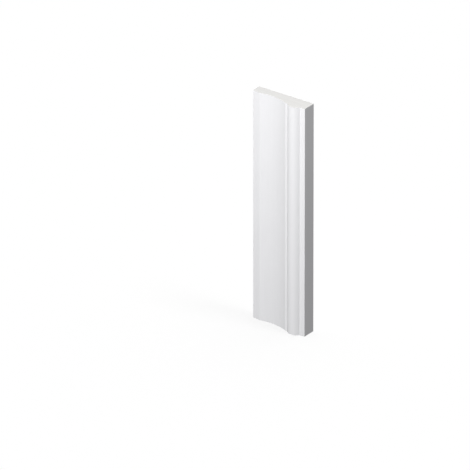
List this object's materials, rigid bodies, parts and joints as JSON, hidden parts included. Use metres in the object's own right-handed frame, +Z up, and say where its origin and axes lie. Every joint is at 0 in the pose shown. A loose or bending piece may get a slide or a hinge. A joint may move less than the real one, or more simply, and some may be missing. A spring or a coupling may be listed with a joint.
{
  "type": "dado rail",
  "caption": "Short length of white dado rail, cut square at both ends, with a bevelled edge, a broad shallow cove, a bead between flat fillets and a flat back.",
  "frame": {"origin": "centre of the bounding box's underside, on the lower cut end that the length stands on", "axes": "+Z up along the length, -Y out of the moulded front, +Y out of the flat back that goes against the wall, +X towards the thick edge beside the bead, -X towards the thin bevelled edge"},
  "size_m": [0.069, 0.02, 0.26],
  "materials": {
    "white_paint": "satin"
  },
  "bodies": {
    "root": {"dado_rail": "white_paint"}
  },
  "joints": []
}
